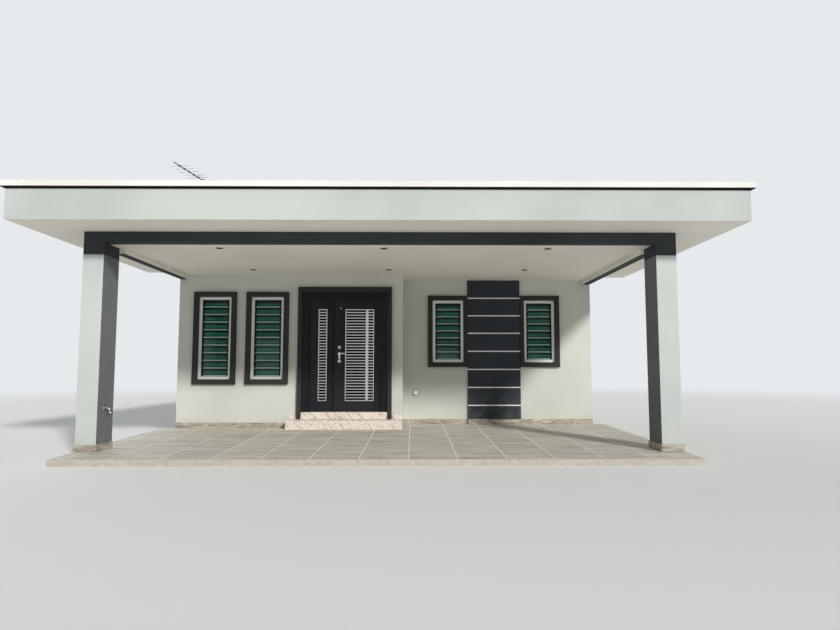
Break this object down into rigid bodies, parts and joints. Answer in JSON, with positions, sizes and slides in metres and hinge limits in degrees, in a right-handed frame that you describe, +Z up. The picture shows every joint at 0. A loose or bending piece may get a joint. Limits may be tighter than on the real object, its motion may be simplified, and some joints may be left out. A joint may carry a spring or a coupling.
{
  "type": "single-storey bungalow with a flat-roofed car porch",
  "caption": "Single-storey bungalow with a wide flat-roofed car porch on two columns, louvre windows and a double-leaf front door.",
  "frame": {"origin": "on the ground, under the middle of the whole building's plan box", "axes": "+X to the right seen from the street, +Y from the porch towards the rear, +Z up; the porch faces -Y"},
  "size_m": [9.34, 15.297, 5.5251],
  "materials": {
    "wall_paint": "matt off-white masonry paint on plaster",
    "porch_paint": "matt pale grey-green masonry paint on plaster",
    "anthracite_plaster": "matt anthracite masonry paint on plaster",
    "cream_coping": "matt cream paint on concrete",
    "soffit_paint": "matt pale beige paint on board",
    "floor_tile": "matt porcelain stoneware tiles with pale grout",
    "house_floor_tile": "satin porcelain tiles",
    "skirting_tile": "satin ceramic skirting",
    "granite": "flamed pinkish granite",
    "roof_tile": "dark grey concrete roof tiles",
    "timber_fascia": "painted timber board",
    "door_steel": "satin anthracite powder coat on pressed steel",
    "stainless": "brushed stainless steel",
    "window_aluminium": "white powder-coated aluminium",
    "green_glass": "green tinted louvre glass",
    "lamp_white": "white diffuser and rim",
    "aerial_aluminium": "weathered aluminium tube"
  },
  "bodies": {
    "house": {"porch_floor": "floor_tile", "house_floor": "house_floor_tile", "porch_columns": "porch_paint", "porch_beams": "anthracite_plaster", "porch_roof_slab": "soffit_paint", "return_roof_slabs": "soffit_paint", "parapet_front": "porch_paint", "parapet_sides": "porch_paint", "parapet_returns": "porch_paint", "porch_coping": "cream_coping", "porch_ceiling": "soffit_paint", "downlights": "lamp_white", "bay_wall_left": "wall_paint", "bay_wall_right": "wall_paint", "bay_wall_head": "wall_paint", "bay_return_wall": "wall_paint", "front_wall_right": "wall_paint", "left_wall": "wall_paint", "right_wall": "wall_paint", "rear_wall": "wall_paint", "feature_panel": "anthracite_plaster", "door_surround_jambs": "anthracite_plaster", "door_surround_head": "anthracite_plaster", "door_frame_jambs": "door_steel", "door_frame_head": "door_steel", "door_sill": "granite", "door_step": "granite", "door_hinges": "stainless", "window_surrounds": "anthracite_plaster", "window_frames": "window_aluminium", "window_glass": "green_glass", "house_ceiling": "soffit_paint", "roof_slope_left": "roof_tile", "roof_slope_right": "roof_tile", "roof_hip_ends": "roof_tile", "ridge_and_hip_caps": "roof_tile", "eaves_soffit": "soffit_paint", "eaves_fascia": "timber_fascia", "tile_skirting": "skirting_tile", "tv_aerial": "aerial_aluminium"},
    "large_leaf": {"door_leaf_large": "door_steel", "door_grille_large": "stainless", "door_fittings_large": "stainless"},
    "small_leaf": {"door_leaf_small": "door_steel", "door_grille_small": "stainless", "door_fittings_small": "stainless"}
  },
  "joints": [
    {"name": "large_leaf_hinge", "type": "hinge", "parent": "house", "child": "large_leaf", "pos_m": [-0.1535, -3.8525, 0.413], "axis": [0, 0, -1], "range_deg": [0, 90]},
    {"name": "small_leaf_hinge", "type": "hinge", "parent": "house", "child": "small_leaf", "pos_m": [-1.4625, -3.8525, 0.413], "axis": [0, 0, 1], "range_deg": [0, 90]}
  ]
}
